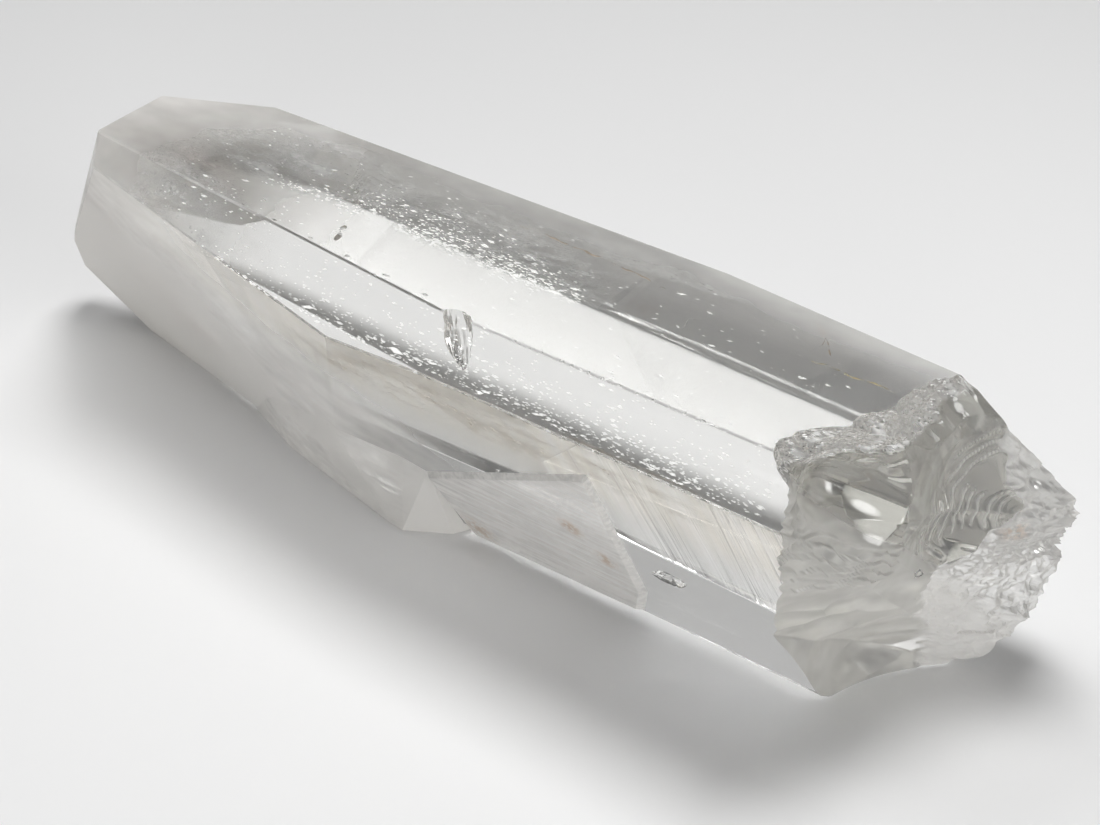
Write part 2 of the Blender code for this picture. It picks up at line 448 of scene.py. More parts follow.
def ripples(y, z, sizes):
    """Rings of narrow bowls round one point, as the shock left them, closer near it.

    The root of the distance counts the rings. They meet in sharp ridges.
    """
    bend = 0.35 * rough_noise(y * 0.4, z * 0.4, 23, 2)
    radius = np.hypot((y - RING_MIDDLE[0]) * 0.9, z - RING_MIDDLE[1]) + bend
    count = np.sqrt(np.maximum(radius, 0)) * 5.6 / sizes.ripple_length
    window = ramp(radius, 1.2, 2.2) * (1 - ramp(radius, 6.6, 8.6))
    patchy = ramp(rough_noise(y * 0.5 + 3, z * 0.35, 29, 2), -0.5, 0.35)
    return (1 + cusps(count)) * window * patchy * (1 - grainy(y, z)) * (1 - rim_chips(y, z))


def terraces(y, z):
    """Low steps one under the other: along each the surface slopes, then drops sharply."""
    line = z * 0.95 + 0.28 * y + 0.7 * rough_noise(y * 0.4, z * 0.2, 31, 3)
    part = line - np.floor(line)
    return part - ramp(part, 0.82, 1.0)


def break_x(y, z, sizes):
    """x of the broken base over (y, z), with flakes, ripples, terraces, chips and grain.

    The broad shape, less the flakes' bowls, plus rings and terraces, plus tilted bowls
    with sharp ridges in the lower front, plus smaller ones along the top rim and,
    smallest, where the break is grainy.
    """
    grain = grainy(y, z)
    chips = rim_chips(y, z)
    smooth = (1 - grain) * (1 - chips)
    outside_scoop = ramp(bowl(y, z, *SCOOP), -0.1, 0.1)
    left = outside_scoop * (1 - ramp(y, -3.4, -1.6)) * smooth
    high = ramp(z, 15.8, 16.6)
    stepped = left * high
    faceted = left * ramp(z, 6.0, 8.0) * (1 - high)
    x = break_shape(y, z)
    x = x + flakes(y, z) * smooth
    x = x + sizes.ripple_height * ripples(y, z, sizes)
    x = x + sizes.terrace_height * stepped * terraces(y, z)
    x = x + faceted * sizes.facet_height * (flat_chips(y / 3.6, z / 3.0, 51, 0.7) - 0.3)
    bowls = scallops(y / 1.9, z / 1.3, 41) + 0.4 * scallops(y / 0.8, z / 0.6, 43) - 0.7
    x = x + sizes.rim_chip_height * chips * bowls
    bowls = flat_chips(y / 1.1, z / 0.9, 71, 1.5) + 0.5 * flat_chips(y / 0.55, z / 0.5, 75, 1.4)
    lumps = bowls - 0.45 + 0.6 * rough_noise(y * 0.7, z * 0.7, 81)
    return x + sizes.grain_height * grain * lumps


def on_break(across, sizes):
    """Points of the break over places given as y and z."""
    x = break_x(across[..., 0], across[..., 1], sizes)
    return np.concatenate([x[..., None], across], axis=-1)


def rim_of(normals, offsets, corners, sizes):
    """Where the prism's sides meet the break: points in order, and which are corners.

    A corner slides along its edge until it lies on the break. Between two corners the
    directions round the axis are evenly spaced, and halving finds how far each reaches.
    """
    ends = corners[corners[:, 0] > CUT_END]
    on_face = np.abs(ends @ normals.T - offsets) < TOUCHING
    on_face[:, normals[:, 0] > NEARLY] = False
    pairs = np.array([np.flatnonzero(row)[:2] for row in on_face])
    along = np.cross(normals[pairs[:, 0]], normals[pairs[:, 1]])
    along /= along[:, :1]
    points = ends.copy()
    for _ in range(SLIDES):
        target = break_x(points[:, 1], points[:, 2], sizes)
        points = ends + along * (target - ends[:, 0])[:, None]
    offset = points[:, 1:] - BREAK_CENTRE
    angle = np.arctan2(offset[:, 1], offset[:, 0])
    order = np.argsort(angle)
    points = points[order]
    angle = angle[order]
    next_angle = np.append(angle[1:], angle[0] + 2 * np.pi)
    gap = np.linalg.norm(np.roll(points, -1, axis=0) - points, axis=1)
    counts = np.maximum(1, np.round(gap / sizes.rim_spacing)).astype(int)
    angles = np.concatenate(
        [a + (b - a) * np.arange(n) / n for a, b, n in zip(angle, next_angle, counts)]
    )
    starts = np.concatenate([[0], np.cumsum(counts)[:-1]])
    low = np.zeros(len(angles))
    high = np.full(len(angles), OUTSIDE)
    heading = np.stack([np.cos(angles), np.sin(angles)], axis=1)
    for _ in range(HALVINGS):
        half = (low + high) / 2
        reached = on_break(BREAK_CENTRE + heading * half[:, None], sizes)
        outside = (reached @ normals.T - offsets).max(axis=1) > 0
        high = np.where(outside, half, high)
        low = np.where(outside, low, half)
    ring = on_break(BREAK_CENTRE + heading * low[:, None], sizes)
    ring[starts] = points
    return ring, starts


def prism_mesh(sizes):
    """The closed crystal with a plain fan over its break, and the ring round the break."""
    normals, offsets = planes(GROWN_FACES)
    normals = np.vstack([normals, [1, 0, 0]])
    offsets = np.append(offsets, PAST_THE_BREAK)
    normals, offsets = worn(normals, offsets, sizes.edge_wear)
    slanted_end = (normals[:, 0] > 0.5) & (normals[:, 0] < NEARLY)
    normals = normals[~slanted_end]
    offsets = offsets[~slanted_end]
    corners = corners_of(normals, offsets)
    ring, starts = rim_of(normals, offsets, corners, sizes)
    ends = np.append(starts[1:], len(ring))
    sections = [ring[np.arange(a, b + 1) % len(ring)] for a, b in zip(starts, ends)]
    bm = bmesh.new()
    for normal, offset in zip(normals, offsets):
        if normal[0] > NEARLY:
            continue
        on_face = np.abs(corners @ normal - offset) < TOUCHING
        outline = corners[on_face & (corners[:, 0] < CUT_END)]
        shared = [s for s in sections if np.abs(s[[0, -1]] @ normal - offset).max() < TOUCHING]
        outline = with_section(outline, shared, normal)
        if len(outline) > 2:
            add_face(bm, outline, GROWN)
    middle = on_break(BREAK_CENTRE, sizes)
    for a, b in zip(ring, np.roll(ring, -1, axis=0)):
        add_face(bm, [middle, a, b], BROKEN)
    bmesh.ops.remove_doubles(bm, verts=bm.verts, dist=1e-3)
    bmesh.ops.recalc_face_normals(bm, faces=bm.faces)
    return bm, ring


def with_section(outline, shared, normal):
    """A face's corners in order, with its stretch of the ring put in where it belongs.

    The middle of the stretch marks the place while the corners are put in order.
    """
    if not shared:
        return outline[turning_order(outline, normal)] if len(outline) > 2 else outline
    points = np.vstack([outline, shared[0].mean(axis=0)])
    order = turning_order(points, normal)
    marker = np.argmax(order == len(outline))
    others = np.roll(order, -marker - 1)[:-1]
    return np.vstack([outline[others], shared[0][::-1]])


def add_face(bm, outline, kind):
    """A face through some points, marked with its kind."""
    face = bm.faces.new([bm.verts.new(point) for point in outline])
    face.material_index = kind


def mesh_from(name, verts, faces):
    """A mesh in its place, from points in millimetres."""
    mesh = bpy.data.meshes.new(name)
    mesh.from_pydata((np.asarray(verts) - MIDDLE) * MM, [], faces)
    mesh.update()
    return mesh


def grid_faces(rings, steps):
    """Quads between neighbouring rings of a closed grid, each ring turning once round."""
    here = np.arange(rings * steps).reshape(rings, steps)
    right = np.roll(here, -1, axis=1)
    return np.stack([here[:-1], here[1:], right[1:], right[:-1]], axis=-1).reshape(-1, 4).tolist()


def fan_faces(hub, first, steps):
    """Triangles from one point to a ring of steps points."""
    ring = np.arange(first, first + steps)
    return np.stack([np.full(steps, hub), ring, np.roll(ring, -1)], axis=-1)


def ball_faces(rings, steps):
    """A closed grid with a pole at each end: the two points after the grid's own."""
    count = rings * steps
    top = fan_faces(count, 0, steps)
    foot = fan_faces(count + 1, count - steps, steps)[:, [0, 2, 1]]
    return grid_faces(rings, steps) + top.tolist() + foot.tolist()


def break_mesh(ring, sizes):
    """The fine break: rings of points from the ring in to its middle.

    Distance from the middle and direction round it are the two parameters, and each
    point's x is read from the break at that place.
    """
    share = np.linspace(0, 1, sizes.break_rings + 1)[1:] ** 0.8
    across = BREAK_CENTRE + share[:, None, None] * (ring[:, 1:] - BREAK_CENTRE)
    points = on_break(across, sizes)
    points[-1] = ring
    rings, steps = points.shape[:2]
    verts = np.vstack([points.reshape(-1, 3), on_break(BREAK_CENTRE, sizes)])
    inner = fan_faces(rings * steps, 0, steps)
    return mesh_from("break", verts, grid_faces(rings, steps) + inner.tolist())


def hull(corners, kind):
    """The convex solid round some corners."""
    bm = bmesh.new()
    for corner in corners:
        bm.verts.new(corner)
    found = bmesh.ops.convex_hull(bm, input=bm.verts)
    inside = [v for v in found["geom_interior"] if isinstance(v, bmesh.types.BMVert)]
    bmesh.ops.delete(bm, geom=inside, context="VERTS")
    bmesh.ops.recalc_face_normals(bm, faces=bm.faces)
    for face in bm.faces:
        face.material_index = kind
    return bm


def on_front(x, z, out):
    """A point of the front face at this height, moved straight out of the face."""
    outward = np.array([0, -1, -SLOPE]) / np.hypot(1, SLOPE)
    return np.array([x, FOOT - SLOPE * z, z]) + outward * out


def plate_solid(sizes):
    """The plate crystal: a slab whose outer outline is smaller, so its edges slope."""
    outline = np.array(PLATE)
    middle = outline.mean(axis=0)
    reach = np.linalg.norm(outline - middle, axis=1, keepdims=True)
    inner = middle + (outline - middle) * (1 - sizes.plate_bevel / reach)
    corners = [on_front(x, z, -PLATE_BURIED) for x, z in outline]
    corners += [on_front(x, z, 0.0) for x, z in outline]
    corners += [on_front(x, z, sizes.plate_proud) for x, z in inner]
    return hull(corners, FROSTED)


def egg(centre, axes, steps, seed, point=1.0):
    """A lumpy egg: a ball whose radius wanders, stretched along three axes.

    The angle round and the angle from the pole are the two parameters. The sine of the
    latter, to the power of point, is how wide it is, so above 1 its ends are pointed.
    """
    round_ = np.linspace(0, 2 * np.pi, steps, endpoint=False)
    down = np.linspace(0, np.pi, steps // 2 + 2)[1:-1]
    a, b = np.meshgrid(round_, down)
    wide = np.sin(b) ** point
    ball = np.stack([np.cos(b), np.cos(a) * wide, np.sin(a) * wide], axis=-1)
    ball *= (1 + 0.1 * rough_noise(ball[..., 0] * 4 + 7, ball[..., 1] * 3 + 7, seed))[..., None]
    poles = np.array([[1, 0, 0], [-1, 0, 0]], float)
    verts = np.vstack([ball.reshape(-1, 3), poles]) @ axes + centre
    return verts, ball_faces(*a.shape)


def chip_solid(sizes):
    """Eggs that scoop the chips and the small nicks out of the crystal's front edges."""
    eggs = []
    for middle, *axes in CHIPS:
        axes = np.array([np.array(d) / np.linalg.norm(d) * size for d, size in axes])
        eggs.append(egg(np.array(middle), axes, 36, 5, 1.6))
    rng = np.random.default_rng(17)
    for start, end, spacing in NICKED_EDGES:
        run = np.array(end) - np.array(start)
        count = int(np.linalg.norm(run) / spacing / sizes.nick_spacing)
        share = (np.arange(count) + rng.uniform(0.0, 0.4, count)) / count
        places = np.array(start) + share[:, None] * run
        radii = rng.uniform(*NICK_RADII, (count, 3)) * [1.6, 0.8, 0.8]
        clear = np.linalg.norm(places - EDGE_CHIP, axis=1) > CLEAR_OF_CHIP
        for place, radius in zip(places[clear], radii[clear]):
            eggs.append(egg(place, np.diag(radius), 10, 5))
    bm = bmesh.new()
    for verts, faces in eggs:
        mesh = bpy.data.meshes.new("egg")
        mesh.from_pydata(verts, [], faces)
        bm.from_mesh(mesh)
        bpy.data.meshes.remove(mesh)
    for face in bm.faces:
        face.material_index = CHIPPED
    return bm


def placed(bm):
    """A mesh from a bmesh, moved round the origin and turned from millimetres to metres."""
    bmesh.ops.translate(bm, vec=-MIDDLE, verts=bm.verts)
    bmesh.ops.scale(bm, vec=(MM, MM, MM), verts=bm.verts)
    mesh = bpy.data.meshes.new(NODE)
    bm.to_mesh(mesh)
    bm.free()
    return mesh


def new_object(name, mesh):
    """An object in its mesh's own place, linked to the scene."""
    obj = bpy.data.objects.new(name, mesh)
    bpy.context.scene.collection.objects.link(obj)
    return obj


def joined(body, steps):
    """The body's mesh after joining or cutting with each helper in turn."""
    helpers = []
    for k, (mesh, operation) in enumerate(steps):
        helpers.append(new_object(f"helper_{k}", mesh))
        modifier = body.modifiers.new(f"step_{k}", "BOOLEAN")
        modifier.operation = operation
        modifier.solver = "EXACT"
        modifier.material_mode = "INDEX"
        modifier.object = helpers[-1]
    graph = bpy.context.evaluated_depsgraph_get()
    mesh = bpy.data.meshes.new_from_object(body.evaluated_get(graph))
    for obj in [body, *helpers]:
        bpy.data.objects.remove(obj)
    return mesh


def with_fine_break(mesh, ring, sizes):
    """The plain fan over the break replaced by the fine one, sewn on round the ring."""
    bm = bmesh.new()
    bm.from_mesh(mesh)
    fan = [face for face in bm.faces if face.material_index == BROKEN]
    bmesh.ops.delete(bm, geom=fan, context="FACES")
    fine = break_mesh(ring, sizes)
    first = len(bm.faces)
    bm.from_mesh(fine)
    bpy.data.meshes.remove(fine)
    bm.faces.ensure_lookup_table()
    for face in bm.faces[first:]:
        face.material_index = BROKEN
    open_verts = [v for v in bm.verts if v.is_boundary or v.is_wire]
    bmesh.ops.remove_doubles(bm, verts=open_verts, dist=SEAM)
    loose = [v for v in bm.verts if not v.link_faces]
    bmesh.ops.delete(bm, geom=loose, context="VERTS")
    bm.normal_update()
    middles = np.array([face.calc_center_median() for face in bm.faces]) / MM + MIDDLE
    rough = grainy(*middles[:, 1:].T) + rim_chips(*middles[:, 1:].T) > 0.4
    for face, is_rough in zip(bm.faces, rough):
        face.smooth = face.material_index == BROKEN and not is_rough
    out = bpy.data.meshes.new(NODE)
    bm.to_mesh(out)
    bm.free()
    return out


def read(items, name, width=None, kind=float):
    """One property of every vertex, corner or face, as an array."""
    values = np.zeros(len(items) * (width or 1), kind)
    items.foreach_get(name, values)
    return values.reshape(-1, width) if width else values


def mark_surfaces(mesh, sizes):
    """Attributes on each face corner, for the material.

    frost is how rough it is, cloudy how white, and layered how strongly striped. grown,
    flared and banded are 1 on the natural faces, the shoulder and the lower front.
    """
    corners = read(mesh.polygons, "loop_total", kind=int)
    kind = np.repeat(read(mesh.polygons, "material_index", kind=int), corners)
    vertex = read(mesh.loops, "vertex_index", kind=int)
    y, z = (read(mesh.vertices, "co", 3)[vertex] / MM + MIDDLE).T[1:]
    inside_scoop = 1 - ramp(bowl(y, z, *SCOOP), -0.5, 0.1)
    ridges = ripples(y, z, sizes) ** 2
    low = 1 - ramp(z - 18 + y * 0.9, -3.0, 1.0)
    shell = (0.1 - 0.08 * inside_scoop + 0.42 * low + 0.5 * ridges) * (1 - 0.6 * rim_chips(y, z))
    broken = kind == BROKEN
    sugary = 0.2 * grainy(y, z)
    facing = np.repeat(read(mesh.polygons, "normal", 3), corners, axis=0)
    grown = kind == GROWN
    marks = {
        "frost": ROUGH_KINDS[kind] + broken * sugary,
        "cloudy": WHITE_KINDS[kind] + broken * (shell + sugary),
        "grown": grown,
        "layered": LAYERED_KINDS[kind],
    }
    for name, rise in {"flared": SLOPE, "banded": -SLOPE}.items():
        outward = np.array([-0.05, -1, rise]) / np.hypot(1, SLOPE)
        marks[name] = grown & (facing @ outward > SAME_WAY)
    for name, values in marks.items():
        layer = mesh.attributes.new(name, "FLOAT", "CORNER")
        layer.data.foreach_set("value", values.astype(np.float32))
    mesh.polygons.foreach_set("material_index", np.zeros(len(mesh.polygons), int))


# ---- What is sealed in the crystal ----


def kept_inside(points, margin):
    """Points moved straight back under any face that they stick out of."""
    normals, offsets = planes(GROWN_FACES)
    flat = np.array(points, float).reshape(-1, 3)
    for _ in range(4):
        for normal, offset in zip(normals, offsets):
            out = np.maximum(flat @ normal - offset + margin, 0)
            flat = flat - out[:, None] * normal
    limit = break_shape(flat[:, 1], flat[:, 2]) - BEHIND_BREAK - margin
    flat[:, 0] = np.minimum(flat[:, 0], limit)
    return flat.reshape(np.shape(points))


def lens(name, middle, along, across, wave, seed):
    """A thin wavy lens: up and over from one pole of its oval to the other.

    Turn round and the way from the upper pole to the lower are the two parameters. The
    height over the middle surface is the sine of that way times a thickness, and the
    middle surface waves with smooth noise.
    """
    steps, rings = 72, 25
    turn = np.linspace(0, 2 * np.pi, steps, endpoint=False)
    way = np.linspace(-1, 1, rings)[1:-1]
    reach = 1 - np.abs(way)[:, None] ** 1.5
    side = -np.sign(way)[:, None] * np.sqrt(np.abs(way))[:, None]
    reach = np.where(way[:, None] == 0, 1.0, reach)
    rim = 1 + 0.16 * smooth_noise(np.cos(turn) * 2 + 9, np.sin(turn) * 2 + 9, seed)
    u = reach * rim * np.cos(turn)
    v = reach * rim * np.sin(turn)
    normal = np.cross(along, across)
    normal /= np.linalg.norm(normal)
    lift = wave * rough_noise(u * 1.6 + 5, v * 1.6 + 5, seed + 3, 2)
    lift = lift + VEIL_HALF_THICKNESS * side
    points = np.array(middle) + u[..., None] * along + v[..., None] * across
    points = kept_inside(points, 0.25) + lift[..., None] * normal
    points = kept_inside(points, 0.12)
    rise = wave * rough_noise(5.0, 5.0, seed + 3, 2) + VEIL_HALF_THICKNESS
    upper = np.array(middle) + normal * rise
    lower = upper - normal * 2 * VEIL_HALF_THICKNESS
    verts = np.vstack([points.reshape(-1, 3), upper, lower])
    mesh = mesh_from(name, verts, ball_faces(len(way), steps))
    layer = mesh.attributes.new("thick", "FLOAT", "POINT")
    thick = np.append(np.repeat(1 - reach**2, steps), [1.0, 1.0])
    layer.data.foreach_set("value", thick.astype(np.float32))
    return mesh


def ribbon(name, path, width, height):
    """A thin flat tube along a path on the top face, tapered at both ends.

    Distance along the path and the turn round it are the two parameters. The section
    is an oval a tenth as thick as it is wide.
    """
    path = np.array(path, float)
    far = np.append(0, np.cumsum(np.linalg.norm(np.diff(path, axis=0), axis=1)))
    rings, steps = 60, 8
    t = np.linspace(0, far[-1], rings)
    x = np.interp(t, far, path[:, 0])
    y = np.interp(t, far, path[:, 1]) + 0.12 * rough_noise(x * 1.3, x * 0 + 3, 7)
    dx, dy = np.gradient(x), np.gradient(y)
    side = np.stack([-dy, dx], axis=1) / np.hypot(dx, dy)[:, None]
    taper = np.sin(np.pi * np.linspace(0.02, 0.98, rings)) ** 0.5
    taper = taper * (0.75 + 0.5 * smooth_noise(x * 2.1, x * 0 + 5, 9)) * width / 2
    turn = np.linspace(0, -2 * np.pi, steps, endpoint=False)
    across = np.cos(turn) * taper[:, None]
    depth = height + 0.1 * np.sin(turn) * taper[:, None]
    points = np.stack(
        [x[:, None] + across * side[:, :1], y[:, None] + across * side[:, 1:], depth], axis=-1
    )
    start = list(range(steps))
    end = [rings * steps - 1 - k for k in start]
    return mesh_from(name, points.reshape(-1, 3), grid_faces(rings, steps) + [start, end])


def fleck_places(rng, sizes):
    """Middles of the flecks, in four bands, and how long each is for its width.

    One band lies along the front shoulder's lower edge, thinning upwards, one is the
    speckled tail of the veil under the top face, one is thin and under all of it, and
    one is of long wisps low in the front.
    """
    n = sizes.fleck_count
    x = -34 + 68 * rng.beta(1.9, 1.3, n)
    z = 26.95 + np.minimum(rng.exponential(1.1, n), 4.4)
    shoulder = np.stack([x, SLOPE * z - 31.6 + rng.exponential(0.35, n) + 0.12, z], axis=1)
    t = rng.beta(2.2, 1.4, n)
    curl = rng.normal(0, 1, n)
    y = -5.2 + 3.6 * np.sin(t * 3) * np.abs(curl) * 0.6 + 0.5 * curl
    tail = np.stack([-30 + 37.5 * t, y, 31.2 - rng.exponential(0.6, n)], axis=1)
    m = n // 3
    loose = rng.uniform([-38, -12.8, 29.0], [33, 4, 31.3], (m, 3))
    k = n // 8
    t = rng.random(k)
    wisps = np.stack([-31 + 17 * t, -1.6 - 4.6 * t, 3.6 + 3.6 * t], axis=1)
    wisps = wisps + rng.normal(0, 1, (k, 3)) * [0.5, 0.0, 0.8] + [0, 0.5, 0]
    length = np.repeat([2.1, 2.1, 2.1, 6.0], [n, n, m, k])
    return np.vstack([shoulder, tail, loose, wisps]), length


EIGHT_SIDED = np.vstack([np.eye(3), -np.eye(3)])[[0, 3, 1, 4, 2, 5]]
EIGHT_SIDES = np.array([
    [0, 2, 4], [2, 1, 4], [1, 3, 4], [3, 0, 4], [2, 0, 5], [1, 2, 5], [3, 1, 5], [0, 3, 5]
])


def flecks_mesh(sizes):
    """Small eight-sided flecks, longer along the crystal, one shape at every place."""
    rng = np.random.default_rng(29)
    places, length = fleck_places(rng, sizes)
    places = kept_inside(places, 0.2)
    n = len(places)
    radii = sizes.fleck_size * np.exp(rng.normal(0, 0.45, (n, 1))) * [1.0, 0.75, 0.6]
    radii[:, 0] *= length
    lean = rng.normal(0, 0.2, n)
    shape = EIGHT_SIDED[None] * radii[:, None]
    shape[..., 1] += shape[..., 0] * lean[:, None]
    verts = (places[:, None] + shape).reshape(-1, 3)
    faces = (EIGHT_SIDES[None] + len(EIGHT_SIDED) * np.arange(n)[:, None, None]).reshape(-1, 3)
    return mesh_from("flecks", verts, faces.tolist())


# ---- Materials ----


def new_material(name):
    material = bpy.data.materials.new(name)
    material.use_nodes = True
    return material, Nodes(material.node_tree)


class Value:
    """A socket that can be used in sums: each operator adds a Math node."""

    def __init__(self, nodes, socket):
        self.nodes = nodes
        self.socket = socket

    def math(self, operation, *values):
        return self.nodes.add("ShaderNodeMath", {"operation": operation}, dict(enumerate(values)))

    def __add__(self, other):
        return self.math("ADD", self, other)

    __radd__ = __add__

    def __mul__(self, other):
        return self.math("MULTIPLY", self, other)

    __rmul__ = __mul__

    def __sub__(self, other):
        return self.math("SUBTRACT", self, other)

    def __rsub__(self, other):
        return self.math("SUBTRACT", other, self)

    def power(self, exponent):
        return self.math("POWER", self, exponent)

    def clamped(self, low, high):
        """0 below low, 1 above high, straight between."""
        inputs = {"Value": self, "From Min": low, "From Max": high}
        return self.nodes.add("ShaderNodeMapRange", {"clamp": True}, inputs)


class Nodes:
    """One node tree, emptied, with a new output."""

    def __init__(self, tree, output="ShaderNodeOutputMaterial"):
        self.tree = tree
        self.tree.nodes.clear()
        self.output = self.tree.nodes.new(output)

    def add(self, kind, settings=None, inputs=None, out=0):
        """A node with its settings, then the values or links of its inputs."""
        node = self.tree.nodes.new(kind)
        for key, value in (settings or {}).items():
            setattr(node, key, value)
        for key, value in (inputs or {}).items():
            if isinstance(value, Value):
                self.tree.links.new(value.socket, node.inputs[key])
            elif value is not None:
                node.inputs[key].default_value = value
        return Value(self, node.outputs[out])

    def link(self, value, name):
        self.tree.links.new(value.socket, self.output.inputs[name])

    def attribute(self, name):
        return self.add("ShaderNodeAttribute", {"attribute_name": name}, out="Fac")

    def place(self, scale=(1, 1, 1)):
        """Object coordinates, scaled."""
        where = self.add("ShaderNodeTexCoord", out="Object")
        return self.add("ShaderNodeMapping", {}, {"Vector": where, "Scale": scale})

    def place_mm(self, axis):
        """One of the object coordinates, in millimetres."""
        where = self.place((1 / MM, 1 / MM, 1 / MM))
        return self.add("ShaderNodeSeparateXYZ", {}, {0: where}, out=axis)

    def near(self, places):
        """1 at each of some places, given as middle and radius in millimetres, 0 outside."""
        where = self.add("ShaderNodeTexCoord", out="Object")
        total = 0.0
        for middle, radius in places:
            inputs = {0: where, 1: tuple((np.array(middle) - MIDDLE) * MM)}
            far = self.add("ShaderNodeVectorMath", {"operation": "DISTANCE"}, inputs, out="Value")
            total = far.clamped(radius * MM, 0.3 * radius * MM) + total
        return total

    def noise(self, scale, detail=3.0, rough=0.5, stretch=(1, 1, 1)):
        """Noise from 0 to 1; a small number in stretch draws it out along that axis."""
        where = self.place(stretch)
        inputs = {"Vector": where, "Scale": scale, "Detail": detail, "Roughness": rough}
        return self.add("ShaderNodeTexNoise", {}, inputs)

    def mixed(self, factor, a, b):
        """Two colours mixed."""
        return self.add("ShaderNodeMix", {"data_type": "RGBA"}, {0: factor, 6: a, 7: b}, out=2)

    def blend(self, factor, a, b):
        """Two shaders mixed."""
        return self.add("ShaderNodeMixShader", {}, {0: factor, 1: a, 2: b})

    def thin(self, thickness, solid):
        """A surface that is see-through where thickness is 0 and solid where it is 1."""
        clear = self.add("ShaderNodeBsdfTransparent")
        self.link(self.blend(thickness, clear, solid), "Surface")

    def glow(self, strength):
        return self.add("ShaderNodeBackground", {}, {"Strength": strength})

    def bump(self, height, distance):
        return self.add("ShaderNodeBump", {}, {"Height": height, "Distance": distance})

    def shader(self, inputs):
        return self.add("ShaderNodeBsdfPrincipled", {}, inputs)


def rgba(colour):
    return (*colour, 1.0)


def milkiness(nodes, looks):
    """How white the crystal is, from 0: haze at its point, low in front and along the rear
    of its top, and where the mesh says so, all in soft clouds."""
    along = nodes.place_mm("X")
    upward = nodes.place_mm("Z")
    grown = nodes.attribute("grown")
    tip = grown * along.clamped(-22.0, -40.0) * looks.tip_haze
    low = upward.clamped(23.0, 12.0) * along.clamped(14.0, -8.0) + along.clamped(-4.0, -24.0) * 0.3
    rear = upward.clamped(31.2, 31.4) * nodes.place_mm("Y").clamped(-3.0, 7.0) * looks.rear_haze
    haze = tip + nodes.attribute("banded") * low * looks.front_haze + rear * grown
    clouds = nodes.noise(120.0, 3.0, 0.6, (0.6, 1.0, 1.0))
    return (haze + nodes.attribute("cloudy")) * (clouds * 1.6 + 0.2)


def quartz_material(looks):
    """Clear glassy faces with fine growth stripes; frosted and stained where marked."""
    material, nodes = new_material(SLOT)
    upward = nodes.place_mm("Z")
    frost = nodes.attribute("frost")
    layered = nodes.attribute("layered")
    stripes = nodes.noise(1500.0, 3.0, 0.75, (1.0, 0.02, 0.02))
    bunched = nodes.noise(260.0, 1.0, stretch=(1.0, 0.1, 0.1)).clamped(0.4, 0.65)
    layers = nodes.noise(1700.0, 2.0, 0.6, (0.07, 1.0, 1.0))
    broad = nodes.noise(180.0, 0.0, stretch=(1.0, 0.25, 0.25))
    grain = nodes.noise(2600.0, 2.0, 0.65)
    mottled = nodes.noise(700.0, 2.0)
    striped = nodes.attribute("grown") * (nodes.place_mm("X").clamped(16.0, 42.0) * 0.9 + 0.1)
    height = stripes * striped * bunched * 0.4 + broad * 0.25 + grain * frost * 0.7
    height = height + layers * layered * 1.2
    near_lip = (looks.lip_top - upward) * (1.0 / looks.lip_width)
    lip = near_lip.clamped(0.0, 1.0).power(2.0) * nodes.attribute("flared")
    height = height + lip * (looks.lip_rise / looks.relief)
    normal = nodes.bump(height, looks.relief * MM)
    milky = milkiness(nodes, looks)
    band = upward.clamped(16.5, 20.5) * nodes.attribute("banded") * stripes.clamped(0.2, 0.6)
    brown = nodes.noise(1600.0, 3.0, 0.6).clamped(0.4, 0.56) * nodes.near(STAINS)
    clear = nodes.mixed(band, rgba(looks.quartz_colour), rgba(looks.band_colour))
    glass = nodes.shader({
        "Base Color": nodes.mixed(brown, clear, rgba(looks.stain_colour)),
        "Roughness": frost * looks.frost_roughness + milky * 0.08 + 0.004,
        "IOR": looks.ior, "Transmission Weight": 1.0, "Normal": normal,
    })
    frosting = nodes.mixed(brown, rgba(looks.frost_colour), rgba(looks.stain_colour))
    facing = nodes.shader({"Base Color": frosting, "Roughness": 0.5, "Normal": normal})
    through = nodes.add(
        "ShaderNodeBsdfTranslucent", {}, {"Color": rgba(looks.frost_colour), "Normal": normal}
    )
    white = nodes.blend(0.45, facing, through)
    whiteness = frost * (mottled * 0.8 + 0.4) * looks.frost_whiteness + milky
    whiteness = whiteness + layers.clamped(0.45, 0.75) * layered * 0.35 + brown
    nodes.link(nodes.blend(whiteness.clamped(0.0, 1.0), glass, white), "Surface")
    inputs = {"Color": rgba(looks.absorption_colour), "Density": looks.absorption_density}
    nodes.link(nodes.add("ShaderNodeVolumeAbsorption", {}, inputs), "Volume")
    return material


def veil_material(name, colour, strength, fineness):
    """Cloud of fine bubbles: see-through where its noise is low, white where it is high."""
    material, nodes = new_material(name)
    wisps = nodes.noise(fineness, 4.0, 0.62, (0.45, 1.0, 1.0)).clamped(0.42, 0.72)
    grains = nodes.noise(fineness * 7.0, 1.0, 0.6, (0.5, 1.0, 1.0)).clamped(0.6, 0.75)
    cloud = wisps * strength + grains * strength * 0.6
    cloud = (cloud * nodes.attribute("thick").clamped(0.0, 0.55)).clamped(0.0, 1.0)
    nodes.thin(cloud, nodes.add("ShaderNodeBsdfDiffuse", {}, {"Color": rgba(colour)}))
    return material


def stain_material(name, colour):
    """A dull stain, thinner and thicker along its length."""
    material, nodes = new_material(name)
    dull = nodes.shader({"Base Color": rgba(colour), "Roughness": 0.6})
    nodes.thin(nodes.noise(900.0).clamped(0.38, 0.62), dull)
    return material


